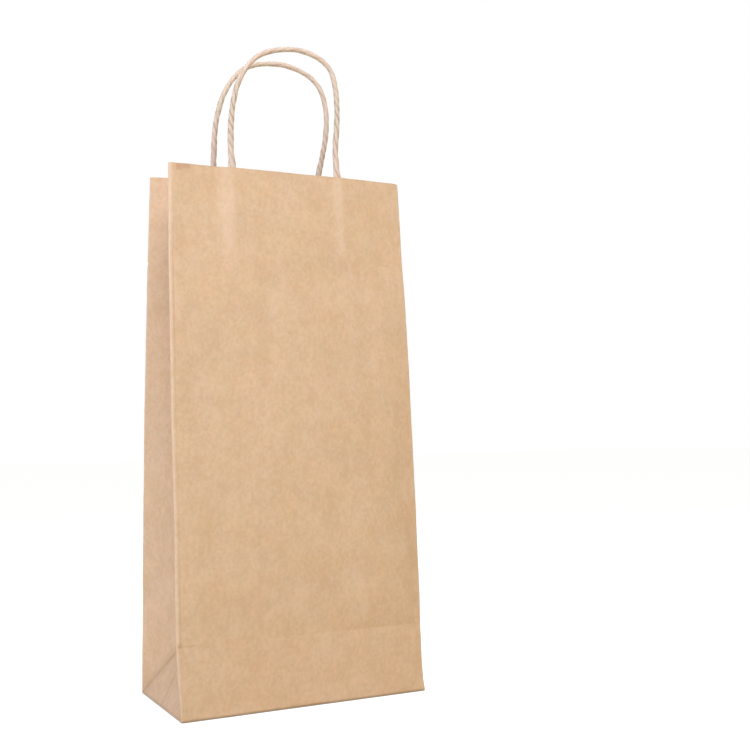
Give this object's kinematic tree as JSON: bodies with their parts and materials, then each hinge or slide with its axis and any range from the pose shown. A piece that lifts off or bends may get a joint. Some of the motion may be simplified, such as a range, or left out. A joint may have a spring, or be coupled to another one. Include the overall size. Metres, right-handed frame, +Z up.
{
  "type": "wine gift bag",
  "caption": "Tall kraft-paper carrier for a wine bottle, with folded side gussets, a flat block bottom and upright twisted-paper loop handles glued inside the half-open mouth.",
  "frame": {"origin": "centre of the footprint, on the surface that the bag stands on", "axes": "+Z up, +X to the right along the front, and the front with the cross crease faces -Y"},
  "size_m": [0.1648, 0.09, 0.4436],
  "materials": {
    "bag_paper": "uncoated brown kraft, matt, with fine fibre mottling",
    "patch_paper": "uncoated brown kraft, glued",
    "twisted_cord": "kraft paper twisted to a firm cord"
  },
  "bodies": {
    "base": {"front_lower_wall": "bag_paper", "left_gusset_foot": "bag_paper", "right_gusset_foot": "bag_paper", "left_front_corner": "bag_paper", "right_front_corner": "bag_paper", "bottom_back_flap": "bag_paper", "bottom_front_flap": "bag_paper", "bottom_side_flap_left": "bag_paper", "bottom_side_flap_right": "bag_paper", "left_gusset_front_half": "bag_paper", "left_gusset_back_half": "bag_paper", "right_gusset_front_half": "bag_paper", "right_gusset_back_half": "bag_paper"},
    "front": {"front_panel": "bag_paper", "front_patch_outer_ply": "patch_paper", "front_patch_inner_ply": "patch_paper", "front_cord_end_left": "twisted_cord", "front_cord_end_right": "twisted_cord"},
    "back": {"back_panel": "bag_paper", "seam_lap": "bag_paper", "back_patch_outer_ply": "patch_paper", "back_patch_inner_ply": "patch_paper", "back_cord_end_left": "twisted_cord", "back_cord_end_right": "twisted_cord"},
    "front_handle": {"front_handle": "twisted_cord"},
    "back_handle": {"back_handle": "twisted_cord"}
  },
  "joints": [
    {"name": "front_panel_lean", "type": "hinge", "parent": "base", "child": "front", "pos_m": [0, -0.0415, 0.04486], "axis": [1, 0, 0], "range_deg": [-2.1, 3.5], "deforming": ["left_gusset_front_half", "right_gusset_front_half"]},
    {"name": "back_panel_lean", "type": "hinge", "parent": "base", "child": "back", "pos_m": [0, 0.045, 0], "axis": [-1, 0, 0], "range_deg": [-1.85, 3.6], "deforming": ["left_gusset_back_half", "right_gusset_back_half"]},
    {"name": "front_handle_fold", "type": "hinge", "parent": "front", "child": "front_handle", "pos_m": [0, -0.0225, 0.34927], "axis": [1, 0, 0], "range_deg": [-2, 150]},
    {"name": "back_handle_fold", "type": "hinge", "parent": "back", "child": "back_handle", "pos_m": [0, 0.0225, 0.34928], "axis": [-1, 0, 0], "range_deg": [-2, 150]}
  ]
}
